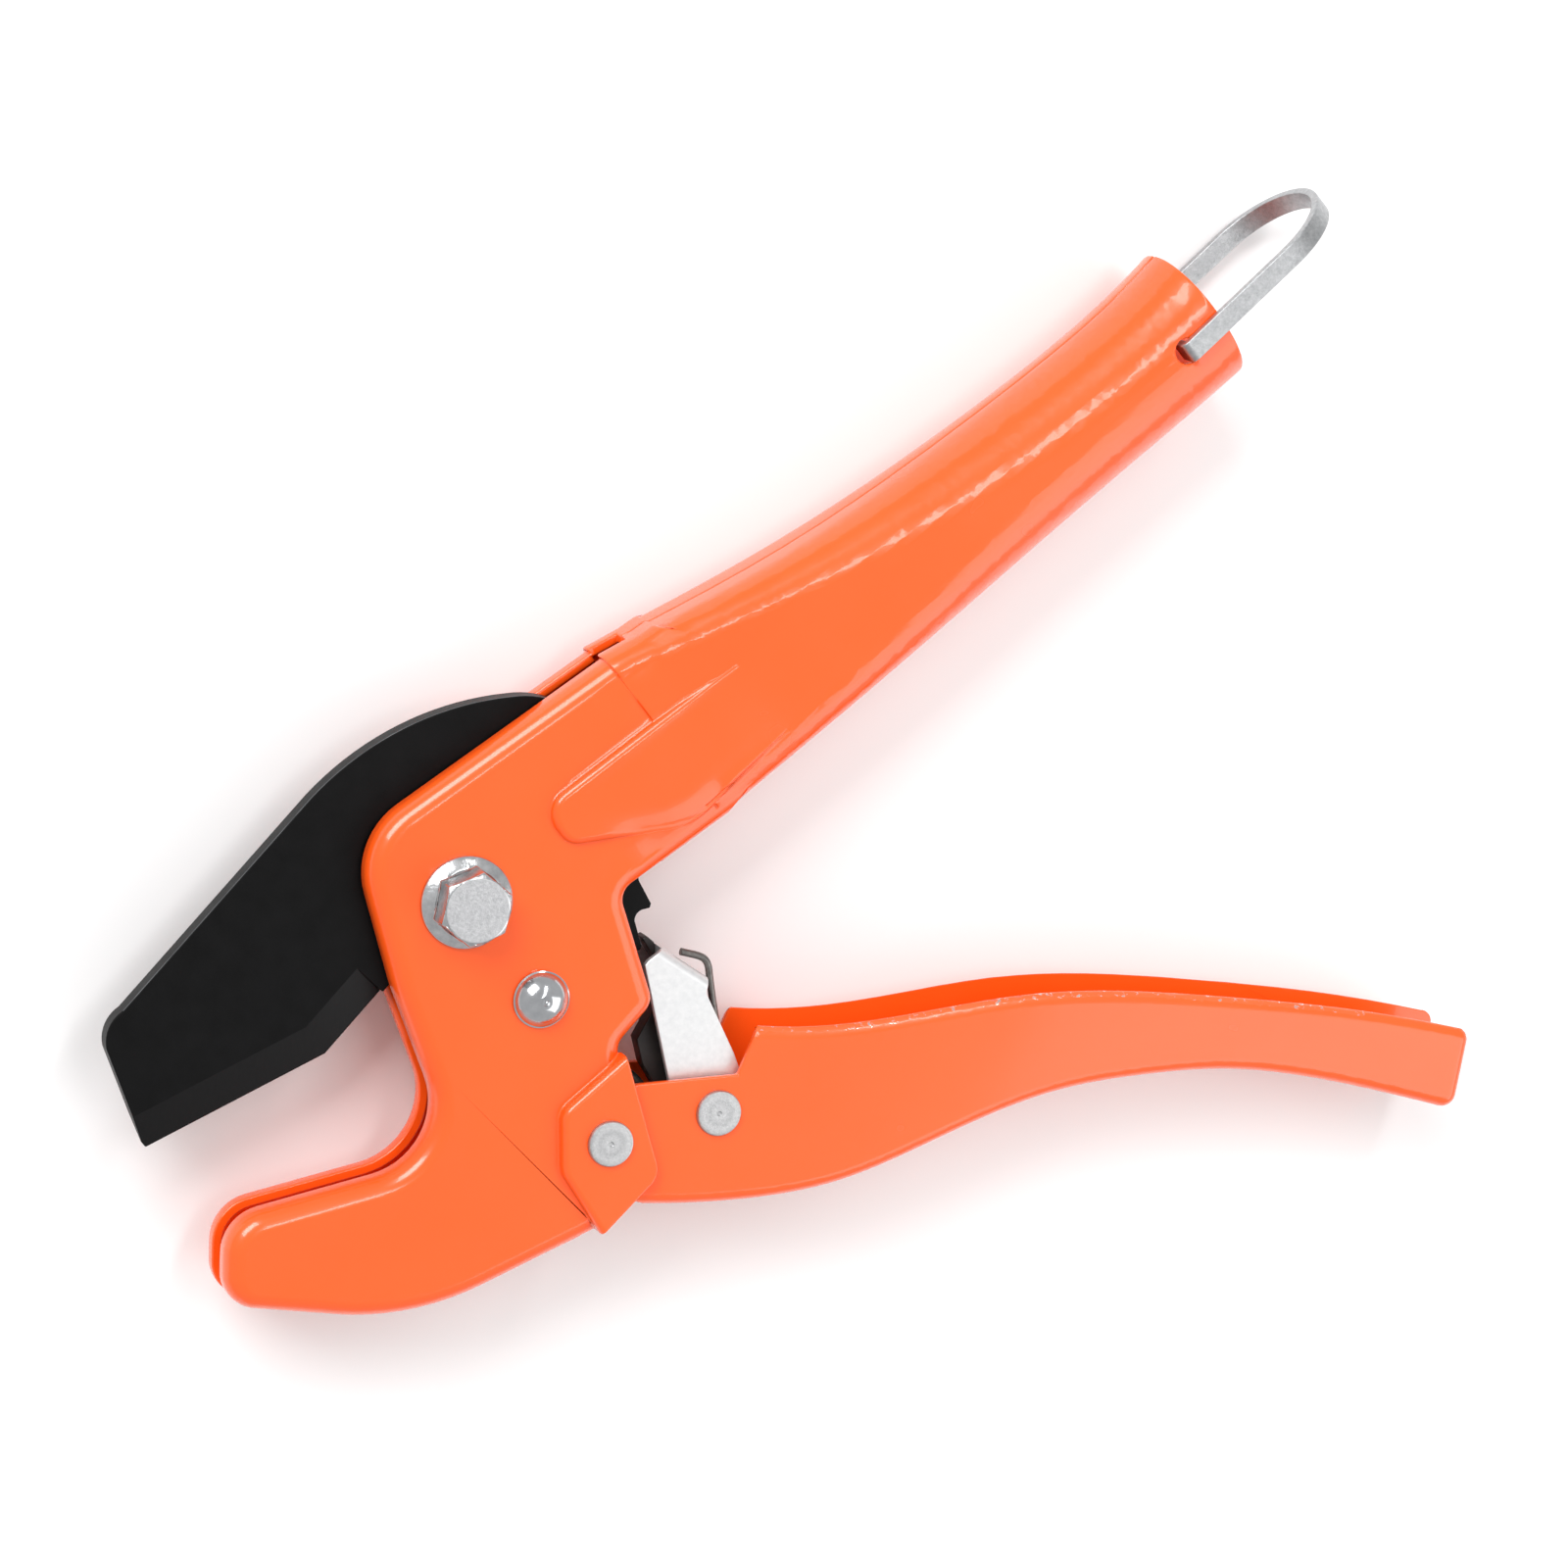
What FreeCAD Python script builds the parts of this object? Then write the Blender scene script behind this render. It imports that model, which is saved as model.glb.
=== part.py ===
"""Ratcheting cutter for plastic pipe, lying on its far side.

Frame, in millimetres: +Z is the tool's thickness. X and Y lie in the plane that the blade and the
handles move in. The origin is on the blade pivot's axis, at the face of its nut, where the tool rests.
Positions below are given in that plane, and heights are counted from the tool's middle plane.
"""
import FreeCAD, Part
import math
import os

V = FreeCAD.Vector

# --- driving dimensions -------------------------------------------------------------------------
MIDDLE = 13.0               # height of the middle plane over the resting plane
SHEET = 1.5                 # pressed steel of the body
HEAD_HALF = 7.0             # half thickness over the two cheeks
EDGE_ROUND = 3.0            # outer radius of the cheeks' turned-in edges
SLOT_HALF = 2.3             # half of the gap between the turned edges, where the blade runs
BOSS_HALF = 9.1             # half thickness over the raised pads at the handle pivot
BULGE_HALF = 8.3            # half thickness where the handle tube swells out of the cheek

STOP = (11.4, -15.8)        # dome rivet that limits the blade
HANDLE_PIVOT = (21.5, -38.7)
PAWL_PIVOT = (39.5, -36.1)

TUBE_START = (45.0, 11.0)   # a point on the tube's underside line
TUBE_ANGLE = 36.5           # degrees between +X and the tube's underside
TUBE_END = 103.2            # length of the underside from TUBE_START to the open end
BAIL_AT = (95.8, 12.4)      # bail axis: along the tube, and up from its underside line
BAIL_HOLE = 2.0             # radius

BLADE_HALF = 1.6            # half of the blade's thickness
BLADE_BORE = 5.05           # radius
TIP_RADIUS = 31.1           # ratchet tooth tips, from the blade pivot
ROOT_RADIUS = 28.95         # ratchet notches
TOOTH_PITCH = 12.4          # degrees
TOOTH_COUNT = 8
FIRST_TOOTH = 42.4          # degrees, tip of the uppermost tooth
BEVEL_WIDTH = 5.6
EDGE_HALF = 0.15            # half of the thickness left at the cutting edge

HANDLE_HALF = 7.25          # half of the moving handle's outer width
HANDLE_SHEET = 1.2
BRACKET_HALF = 5.1          # half of the pawl bracket's outer width
BRACKET_SHEET = 1.1
PAWL_HALF = 1.6

BOLT_RADIUS = 3.0
BUSH_RADIUS = 5.0
SHANK_RADIUS = 2.5          # handle rivet and pawl rivet
STOP_SHANK = 2.0
HANDLE_BUSH = 3.5
RIVET_HEAD = 3.55
SPRING_WIRE = 0.9           # radius of the handle spring's wire
SPRING_MEAN = 10.0
PAWL_WIRE = 0.58
PAWL_COIL = 3.4


# --- outlines and plates ------------------------------------------------------------------------
def rounded_outline(corners):
    """Closed wire through corners given as (x, y, radius), straight between them."""
    count = len(corners)
    edges = []
    previous_end = None
    first_start = None
    for i in range(count):
        x, y, radius = corners[i]
        here = V(x, y, 0)
        before = V(*corners[i - 1][:2], 0)
        after = V(*corners[(i + 1) % count][:2], 0)
        back = (before - here).normalize()
        on = (after - here).normalize()
        if radius > 0:
            half = math.acos(max(-1.0, min(1.0, back.dot(on)))) / 2
            reach = radius / math.tan(half)
            start = here + back * reach
            end = here + on * reach
            middle = here + (back + on).normalize() * (radius / math.sin(half) - radius)
        else:
            start = here
            end = here
        if previous_end is not None:
            edges.append(Part.makeLine(previous_end, start))
        else:
            first_start = start
        if radius > 0:
            edges.append(Part.Arc(start, middle, end).toShape())
        previous_end = end
    edges.append(Part.makeLine(previous_end, first_start))
    return Part.Wire(edges)


def slab(wire, low, high):
    """Solid between two heights over the middle plane, with the wire as its outline."""
    face = Part.Face(wire)
    solid = face.extrude(V(0, 0, high - low))
    solid.translate(V(0, 0, MIDDLE + low))
    return solid


def polygon(points):
    return rounded_outline([(x, y, 0) for x, y in points])


def disc(centre, radius, low, high):
    return Part.makeCylinder(radius, high - low, V(centre[0], centre[1], MIDDLE + low))


def ring(centre, outer, inner, low, high):
    return disc(centre, outer, low, high).cut(disc(centre, inner, low - 1, high + 1))


def polar(centre, radius, degrees):
    angle = math.radians(degrees)
    return V(centre[0] + radius * math.cos(angle), centre[1] + radius * math.sin(angle), 0)


def arc_between(centre, radius, start, end):
    """Arc about a centre, from one angle to another in degrees."""
    points = [polar(centre, radius, a) for a in (start, (start + end) / 2, end)]
    return Part.Arc(*points).toShape()


def curve(points):
    spline = Part.BSplineCurve()
    spline.interpolate([V(x, y, 0) for x, y in points])
    return spline.toShape()


def round_edges(solid, radius, wanted):
    """Fillet the edges that the test picks by their bounding box."""
    edges = [e for e in solid.Edges if wanted(e.BoundBox)]
    return solid.makeFillet(radius, edges)


def at_height(*heights):
    """Test for an edge that lies flat at one of some heights over the middle plane."""
    def wanted(box):
        flat = box.ZLength < 0.01
        return flat and any(abs(box.Center.z - MIDDLE - h) < 0.01 for h in heights)
    return wanted


def one_solid(shape):
    shape = shape.removeSplitter()
    if len(shape.Solids) != 1:
        raise ValueError(f"expected one solid, found {len(shape.Solids)}")
    return shape.Solids[0]


# --- the body: one folded sheet, two cheeks, hook and tube --------------------------------------
def along_tube(u, v, height=0.0):
    """Point in the row frame from its place along the tube's underside and up from it."""
    angle = math.radians(TUBE_ANGLE)
    x = TUBE_START[0] + u * math.cos(angle) - v * math.sin(angle)
    y = TUBE_START[1] + u * math.sin(angle) + v * math.cos(angle)
    return V(x, y, MIDDLE + height)


def head_outline():
    return rounded_outline([
        (30.5, 39.4, 0),
        (-16.6, 10.0, 12),
        (-10.8, -12.8, 30),
        (-1.4, -39.4, 11),
        (-37.3, -45.9, 7),
        (-37.9, -59.2, 5.5),
        (-9.0, -64.6, 42),
        (20.2, -53.4, 4),
        (29.6, -44.6, 3.4),
        (24.2, -24.6, 2.6),
        (30.2, -18.4, 3.4),
        (25.0, -0.9, 2.5),
        (41.6, 9.6, 0),
        (50.0, 22.0, 0),
        (44.0, 38.0, 0),
    ])


def boss_outline(inset=0.0):
    """Raised pad that makes room for the moving handle's root."""
    i = inset
    return rounded_outline([
        (36.0, -16.6 - 1.25 * i, 0),
        (14.1 + i, -33.4 - 0.6 * i, 3.5 - i),
        (14.1 + i, -43.0 + 0.3 * i, 4),
        (22.5 + i, -57.0, 0),
        (36.0, -57.0, 0),
    ])


def bulge_outline(inset=0.0):
    """Front of the tube's swelling on the cheek."""
    i = inset
    corners = [(-25.5 + i, 21.8 - i, 4 - i), (-25.5 + i, 14.5 + i, 3.5 - i), (-9.0, 4.2 + i, 12),
               (26.0, 6.5 + i, 0), (26.0, 19.4 - i, 0)]
    flat = []
    for u, v, radius in corners:
        point = along_tube(u, v)
        flat.append((point.x, point.y, radius))
    return rounded_outline(flat)


# along the underside, lower side, upper side, half thickness, corner radius
TUBE_SECTIONS = [
    (-4.0, 1.2, 33.0, 7.3, 3.6),
    (12.0, 1.2, 29.6, 8.3, 4.6),
    (30.0, 1.2, 26.2, 9.5, 6.0),
    (50.0, 1.2, 23.9, 10.4, 8.0),
    (75.0, 1.2, 22.5, 10.9, 9.6),
    (TUBE_END, 1.2, 23.9, 11.0, 10.4),
]


def tube_section(u, low, high, half, radius, inset):
    wire = rounded_outline([
        (low + inset, -half + inset, radius - inset),
        (high - inset, -half + inset, radius - inset),
        (high - inset, half - inset, radius - inset),
        (low + inset, half - inset, radius - inset),
    ])
    angle = math.radians(TUBE_ANGLE)
    origin = along_tube(u, 0)
    up = V(-math.sin(angle), math.cos(angle), 0)
    out = V(0, 0, 1)
    forward = up.cross(out)
    matrix = FreeCAD.Matrix(up.x, out.x, forward.x, origin.x,
                            up.y, out.y, forward.y, origin.y,
                            up.z, out.z, forward.z, origin.z)
    return wire.transformGeometry(matrix)


def tube_solid(inset):
    wires = [tube_section(*section, inset) for section in TUBE_SECTIONS]
    return Part.makeLoft(wires, True, False)


def tube_cavity():
    """Inside of the tube, with a short straight run past its open end."""
    angle = math.radians(TUBE_ANGLE)
    mouth = Part.Face(tube_section(*TUBE_SECTIONS[-1], SHEET))
    past = mouth.extrude(V(math.cos(angle), math.sin(angle), 0) * 3)
    return tube_solid(SHEET).fuse(past)


def free_rim(half):
    """Test for the cheek's outline edges that stay clear of the tube."""
    flat = at_height(-half, half)

    def wanted(box):
        return flat(box) and box.XMax < 31.3
    return wanted


def body_shell():
    outline = head_outline()
    inner_half = HEAD_HALF - SHEET
    boss_half = BOSS_HALF - SHEET
    bulge_half = BULGE_HALF - SHEET

    cavity = slab(outline.makeOffset2D(-SHEET), -inner_half, inner_half)
    cavity = round_edges(cavity, SHEET, free_rim(inner_half))
    pocket = slab(boss_outline(0.9), -boss_half, boss_half)
    swell = slab(bulge_outline(SHEET), -bulge_half, bulge_half)
    tube_room = tube_cavity()

    head = round_edges(slab(outline, -HEAD_HALF, HEAD_HALF), EDGE_ROUND, free_rim(HEAD_HALF))
    boss = round_edges(slab(boss_outline(), -BOSS_HALF, BOSS_HALF), 1.1, at_height(-BOSS_HALF, BOSS_HALF))
    boss = boss.common(slab(outline, -BOSS_HALF, BOSS_HALF))
    head = head.fuse(boss).cut(cavity).cut(pocket)
    bulge = slab(bulge_outline(), -BULGE_HALF, BULGE_HALF)
    bulge = round_edges(bulge, 1.2, at_height(-BULGE_HALF, BULGE_HALF))
    head = head.fuse(bulge.cut(cavity)).cut(swell).cut(tube_room)
    tube = tube_solid(0.0).cut(tube_room).cut(cavity).cut(swell)
    shell = head.fuse(tube)

    rear_mouth = slab(polygon([(18, -58), (18, 0), (29.9, 5.0), (31.2, 3.2), (48, -8), (48, -58)]),
                      -inner_half, inner_half)
    open_side = [(26.6, 39.5), (31.2, 3.2), (48, -8), (48, -75), (-60, -75), (-60, 60), (15, 60)]
    blade_gap = slab(polygon(open_side), -SLOT_HALF, SLOT_HALF)
    tooth_room = disc((0, 0), 34.2, -SLOT_HALF, SLOT_HALF)
    for tool in (rear_mouth, blade_gap, tooth_room):
        shell = shell.cut(tool)

    seam_half = 0.12
    seam = slab(polygon([tuple(along_tube(u, v))[:2] for u, v in
                         [(-2, 22), (-2, 40), (TUBE_END + 2, 40), (TUBE_END + 2, 16), (60, 16)]]),
                -seam_half, seam_half)
    holes = [
        disc((0, 0), BOLT_RADIUS + 0.2, -12, 12),
        disc(STOP, STOP_SHANK + 0.02, -12, 12),
        disc(HANDLE_PIVOT, SHANK_RADIUS + 0.02, -12, 12),
        disc(tuple(along_tube(*BAIL_AT))[:2], BAIL_HOLE, -14, 14),
    ]
    for tool in [seam] + holes:
        shell = shell.cut(tool)
    return one_solid(shell)


# --- the blade ----------------------------------------------------------------------------------
def tooth_edges():
    """Ratchet rim from the uppermost tooth's tip down to the last tooth's notch side."""
    edges = []
    here = polar((0, 0), TIP_RADIUS, FIRST_TOOTH)
    for k in range(TOOTH_COUNT):
        tip = FIRST_TOOTH - TOOTH_PITCH * k
        corner = polar((0, 0), TIP_RADIUS - 0.1, tip - 1.3)
        if here.distanceToPoint(polar((0, 0), TIP_RADIUS, tip)) > 0.01:
            edges.append(Part.makeLine(here, polar((0, 0), TIP_RADIUS, tip)))
        edges.append(Part.makeLine(polar((0, 0), TIP_RADIUS, tip), corner))
        if k == TOOTH_COUNT - 1:
            here = corner
            break
        lip = polar((0, 0), TIP_RADIUS - 1.15, tip - 1.9)
        edges.append(Part.makeLine(corner, lip))
        root = polar((0, 0), ROOT_RADIUS, tip - 5.6)
        edges.append(Part.Arc(lip, polar((0, 0), ROOT_RADIUS + 0.12, tip - 3.4), root).toShape())
        here = root
    return edges, here


BLADE_EDGE = [(-47.8, -34.9), (-20.2, -23.1), (-8.6, -11.1)]   # cutting edge, its knee and heel


def bevel_cut(start, end, side):
    """Wedge that thins one side of the blade along a stretch of its edge."""
    a = V(*start, 0)
    b = V(*end, 0)
    along = (b - a).normalize()
    inward = V(-along.y, along.x, 0)
    low = MIDDLE + side * EDGE_HALF
    face = MIDDLE + side * BLADE_HALF
    origin = a - along * 12
    rise = (BLADE_HALF - EDGE_HALF) / BEVEL_WIDTH
    outer = origin - inward * 2
    profile = [
        V(outer.x, outer.y, low - side * 2 * rise),
        V(*(origin + inward * BEVEL_WIDTH)[:2], face),
        V(*(origin + inward * BEVEL_WIDTH)[:2], face + side * 1),
        V(outer.x, outer.y, face + side * 1),
    ]
    wire = Part.makePolygon(profile + profile[:1])
    return Part.Face(wire).extrude(along * ((b - a).Length + 12))


def blade():
    slot_inner = 16.1
    slot_outer = 22.9
    slot_middle = (slot_inner + slot_outer) / 2
    slot_end = 4.2
    finger_end = -49.0
    hub = 14.0
    teeth, last = tooth_edges()
    back = [(23.2, 22.6), (9.2, 29.5), (-7.3, 25.9), (-22.0, 16.2)]
    edges = [
        Part.makeLine(V(-22.0, 16.2, 0), V(-50.9, -13.5, 0)),
        Part.Arc(V(-50.9, -13.5, 0), V(-53.2, -16.2, 0), V(-53.5, -19.2, 0)).toShape(),
        Part.makeLine(V(-53.5, -19.2, 0), V(-48.4, -34.1, 0)),
        Part.makeLine(V(-48.4, -34.1, 0), V(*BLADE_EDGE[0], 0)),
        Part.makeLine(V(*BLADE_EDGE[0], 0), V(*BLADE_EDGE[1], 0)),
        Part.makeLine(V(*BLADE_EDGE[1], 0), V(*BLADE_EDGE[2], 0)),
        Part.makeLine(V(*BLADE_EDGE[2], 0), polar((0, 0), hub, -118)),
        arc_between((0, 0), hub, -118, -62),
        Part.makeLine(polar((0, 0), hub, -62), polar((0, 0), slot_inner, -40)),
        arc_between((0, 0), slot_inner, -40, slot_end),
        Part.Arc(polar((0, 0), slot_inner, slot_end), polar((0, 0), slot_middle, slot_end + 10),
                 polar((0, 0), slot_outer, slot_end)).toShape(),
        arc_between((0, 0), slot_outer, slot_end, finger_end + 3),
        Part.makeLine(polar((0, 0), slot_outer, finger_end + 3), polar((0, 0), slot_outer + 2, finger_end)),
        Part.makeLine(polar((0, 0), slot_outer + 2, finger_end), polar((0, 0), ROOT_RADIUS, finger_end)),
        Part.makeLine(polar((0, 0), ROOT_RADIUS, finger_end), last),
    ]
    edges += teeth
    edges.append(Part.makeLine(polar((0, 0), TIP_RADIUS, FIRST_TOOTH), V(*back[0], 0)))
    edges.append(Part.Arc(V(*back[0], 0), V(17.2, 27.9, 0), V(*back[1], 0)).toShape())
    edges.append(Part.Arc(V(*back[1], 0), V(*back[2], 0), V(*back[3], 0)).toShape())
    outline = Part.Wire(Part.__sortEdges__(edges))
    solid = slab(outline, -BLADE_HALF, BLADE_HALF)
    solid = solid.cut(disc((0, 0), BLADE_BORE, -5, 5))
    for side in (1, -1):
        solid = solid.cut(bevel_cut(BLADE_EDGE[0], BLADE_EDGE[1], side))
        heel = bevel_cut(BLADE_EDGE[1], (-11.5, -14.1), side)
        solid = solid.cut(heel)
    return one_solid(solid)


# --- bolt, nut, rivets, bushes ------------------------------------------------------------------
def hexagon(across_flats, low, high, turn):
    radius = across_flats / math.sqrt(3)
    return slab(polygon([tuple(polar((0, 0), radius, turn + 60 * k))[:2] for k in range(6)]), low, high)


def chamfered_hexagon(across_flats, low, high, turn, both=False):
    """Hexagon whose corners are cut by a 30 degree cone at its top, and at its foot if asked."""
    corner = across_flats / math.sqrt(3)
    depth = (corner - across_flats / 2 + 0.15) * math.tan(math.radians(30))
    height = high - low
    foot = depth if both else 0.0
    inner = across_flats / 2 - 0.15
    profile = [(0, 0), (inner if both else corner, 0), (corner, foot), (corner, height - depth),
               (inner, height), (0, height)]
    points = [V(r, 0, MIDDLE + low + z) for r, z in profile]
    face = Part.Face(Part.makePolygon(points + points[:1]))
    envelope = face.revolve(V(0, 0, 0), V(0, 0, 1), 360)
    return hexagon(across_flats, low, high, turn).common(envelope)


def revolved(centre, profile):
    """Solid of revolution about Z from (radius, height over the middle plane) points."""
    points = [V(r, 0, MIDDLE + z) for r, z in profile]
    solid = Part.Face(Part.makePolygon(points + points[:1])).revolve(V(0, 0, 0), V(0, 0, 1), 360)
    solid.translate(V(centre[0], centre[1], 0))
    return solid


HEX_FLATS = 10.0
HEX_TURN = 18.0             # degrees, how the head happens to stand
NUT_END = -MIDDLE + 0.8     # the bolt stands this far out of its nut, and its end is the resting face
INSERT_RADIUS = 3.88


def blade_bolt():
    seat = HEAD_HALF + 0.02
    flange = revolved((0, 0), [(0, seat), (7.1, seat), (7.1, seat + 0.7), (5.4, seat + 1.7), (0, seat + 1.7)])
    head = chamfered_hexagon(HEX_FLATS, seat, seat + 6.3, HEX_TURN)
    end = -MIDDLE
    shank = revolved((0, 0), [(0, end), (BOLT_RADIUS - 0.5, end), (BOLT_RADIUS, end + 0.5),
                              (BOLT_RADIUS, seat + 1), (0, seat + 1)])
    return one_solid(flange.fuse([head, shank]))


def blade_nut():
    top = -HEAD_HALF - 0.02
    body = chamfered_hexagon(HEX_FLATS, NUT_END, top, HEX_TURN + 24, True)
    collar_seat = disc((0, 0), INSERT_RADIUS + 0.02, NUT_END - 1, NUT_END + 1.4)
    return one_solid(body.cut(collar_seat).cut(disc((0, 0), BOLT_RADIUS + 0.02, NUT_END - 1, top + 1)))


def nut_insert():
    return ring((0, 0), INSERT_RADIUS, BOLT_RADIUS + 0.02, NUT_END + 0.25, NUT_END + 1.38)


def stop_rivet():
    seat = HEAD_HALF + 0.02
    radius = 4.4
    height = 3.0
    sphere_radius = (radius ** 2 + height ** 2) / (2 * height)
    centre = V(STOP[0], STOP[1], MIDDLE + seat + 0.5 + height - sphere_radius)
    dome = Part.makeSphere(sphere_radius, centre).common(disc(STOP, radius, seat + 0.5, seat + 5))
    rim = disc(STOP, radius, seat, seat + 0.5)
    shank = disc(STOP, STOP_SHANK, -seat - 0.5, seat + 0.2)
    foot_radius = 3.6
    foot = revolved(STOP, [(0, -seat), (foot_radius, -seat), (foot_radius, -seat - 0.7),
                           (foot_radius - 0.7, -seat - 1.5), (0, -seat - 1.5)])
    return one_solid(dome.fuse([rim, shank, foot]))


def flat_rivet(centre, seat):
    """Rivet with low flat heads, set on both outer faces."""
    height = 0.85
    head = [(0, seat), (RIVET_HEAD, seat), (RIVET_HEAD, seat + height - 0.15),
            (RIVET_HEAD - 0.15, seat + height), (0, seat + height)]
    foot = [(r, -z) for r, z in head]
    shank = disc(centre, SHANK_RADIUS, -seat - 0.2, seat + 0.2)
    return one_solid(revolved(centre, head).fuse([revolved(centre, foot), shank]))


# --- the moving handle --------------------------------------------------------------------------
HANDLE_END = [(169.4, -34.7), (166.7, -48.2)]
HANDLE_UNDERSIDE = [(143.0, -41.0), (125.0, -37.6), (111.0, -37.3), (97.0, -38.4), (75.5, -44.6),
                    (60.0, -49.4), (44.0, -50.8), (27.4, -49.8)]


def handle_wire():
    top = curve([(46.3, -22.9), (60.0, -23.9), (92.0, -21.9), (124.4, -25.1), (148.9, -29.5), HANDLE_END[0]])
    underside = curve([HANDLE_END[1]] + HANDLE_UNDERSIDE)
    root = 5.8
    upper = polar(HANDLE_PIVOT, root, 138)
    side = polar(HANDLE_PIVOT, root, 180)
    lower = polar(HANDLE_PIVOT, root, 228)
    edges = [
        top,
        Part.makeLine(V(*HANDLE_END[0], 0), V(*HANDLE_END[1], 0)),
        underside,
        Part.makeLine(V(*HANDLE_UNDERSIDE[-1], 0), lower),
        Part.Arc(lower, side, upper).toShape(),
        Part.makeLine(upper, V(26.5, -30.5, 0)),
        Part.makeLine(V(26.5, -30.5, 0), V(42.8, -30.5, 0)),
        Part.makeLine(V(42.8, -30.5, 0), V(46.3, -22.9, 0)),
    ]
    return Part.Wire(Part.__sortEdges__(edges))


def moving_handle():
    solid = slab(handle_wire(), -HANDLE_HALF, HANDLE_HALF)

    def upright_end(box):
        return box.ZLength > 2 * HANDLE_HALF - 0.1 and box.XMin > 160

    solid = round_edges(solid, 2.4, upright_end)

    def underside(box):
        return box.ZLength < 0.01 and box.XLength > 100 and box.YMin < -45

    solid = round_edges(solid, 2.2, underside)
    inner = HANDLE_HALF - HANDLE_SHEET
    web = HANDLE_SHEET + 0.05
    past_end = (173.0, -50.4)
    floor_curve = curve([(x, y + web) for x, y in [past_end, HANDLE_END[1]] + HANDLE_UNDERSIDE])
    edges = [floor_curve]
    root_x, root_y = HANDLE_UNDERSIDE[-1]
    past_x, past_y = past_end
    path = [(root_x, root_y + web), (root_x, -55), (5, -55), (5, 5), (past_x, 5), (past_x, past_y + web)]
    for a, b in zip(path, path[1:]):
        edges.append(Part.makeLine(V(*a, 0), V(*b, 0)))
    channel = slab(Part.Wire(Part.__sortEdges__(edges)), -inner, inner)

    def channel_foot(box):
        return box.ZLength < 0.01 and box.XLength > 100 and box.YMin < -45 and box.YMax < -30

    channel = round_edges(channel, 1.1, channel_foot)
    solid = solid.cut(channel)
    solid = solid.cut(disc(HANDLE_PIVOT, HANDLE_BUSH + 0.05, -9, 9))
    solid = solid.cut(disc(PAWL_PIVOT, SHANK_RADIUS + 0.02, -9, 9))
    return one_solid(solid)


# --- pawl, its bracket and the springs ----------------------------------------------------------
def round_ended(centre, radius, points):
    """Outline of straight runs that closes round a pivot; points run from its left to its right."""
    first = V(*points[0], 0)
    last = V(*points[-1], 0)
    pivot = V(*centre, 0)

    def tangent(point, sense):
        reach = (pivot - point)
        turn = sense * math.asin(radius / reach.Length)
        length = math.sqrt(reach.Length ** 2 - radius ** 2)
        aim = reach.normalize()
        rotated = V(aim.x * math.cos(turn) - aim.y * math.sin(turn),
                    aim.x * math.sin(turn) + aim.y * math.cos(turn), 0)
        return point + rotated * length

    left = tangent(first, -1)
    right = tangent(last, 1)
    away = (pivot - (left + right) * 0.5).normalize()
    edges = [Part.Arc(right, pivot + away * radius, left).toShape(), Part.makeLine(left, first)]
    for a, b in zip(points, points[1:]):
        edges.append(Part.makeLine(V(*a, 0), V(*b, 0)))
    edges.append(Part.makeLine(last, right))
    return Part.Wire(Part.__sortEdges__(edges))


def pawl_plate():
    outline = round_ended(PAWL_PIVOT, 5.4, [
        (29.3, -29.0), (28.4, -25.0), (31.6, -19.6), (31.7, -13.2), (29.35, -9.2), (30.1, -8.9),
        (31.35, -10.0), (31.35, -11.8), (36.4, -15.4), (38.3, -21.5),
    ])
    plate = slab(outline, -PAWL_HALF, PAWL_HALF)
    return one_solid(plate.cut(disc(PAWL_PIVOT, SHANK_RADIUS + 0.05, -5, 5)))


BRACKET_TOP = [(31.6, -10.3), (39.1, -15.6)]


def pawl_bracket():
    side_points = [(28.6, -12.6), (29.2, -11.9), BRACKET_TOP[0], BRACKET_TOP[1], (38.5, -17.8), (42.9, -27.5)]
    outline = round_ended(PAWL_PIVOT, 6.0, side_points)
    whole = slab(outline, -BRACKET_HALF, BRACKET_HALF)
    start = V(*BRACKET_TOP[0], 0)
    end = V(*BRACKET_TOP[1], 0)
    along = (end - start).normalize()

    def fold(box):
        flat = abs(abs(box.Center.z - MIDDLE) - BRACKET_HALF) < 0.01 and box.ZLength < 0.01
        return flat and abs(box.Center.x - (start + end).x / 2) < 0.1 and box.XLength > 5

    whole = round_edges(whole, 1.5, fold)
    down = V(along.y, -along.x, 0)
    inner = BRACKET_HALF - BRACKET_SHEET
    a = start - along * 9 + down * BRACKET_SHEET
    b = end + along * 9 + down * BRACKET_SHEET
    gap = slab(polygon([(a.x, a.y), (b.x, b.y), (60, -60), (0, -60)]), -inner, inner)
    front = [(start.x, start.y + 1), (start.x, start.y - 20), (20, -40), (20, 0)]
    mouth = slab(polygon(front), -inner, inner)
    bracket = whole.cut(gap).cut(mouth)
    return one_solid(bracket.cut(disc(PAWL_PIVOT, SHANK_RADIUS + 0.05, -8, 8)))


def rod(start, end, radius):
    return Part.makeCylinder(radius, start.distanceToPoint(end), start, end - start)


def wire_path(points, radius):
    """Bent round wire: straight rods joined by balls."""
    shape = None
    for a, b in zip(points, points[1:]):
        piece = rod(a, b, radius)
        shape = piece if shape is None else shape.fuse(piece)
    for joint in points[1:-1]:
        shape = shape.fuse(Part.makeSphere(radius, joint))
    return shape


def raised(x, y, height):
    return V(x, y, MIDDLE + height)


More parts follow.
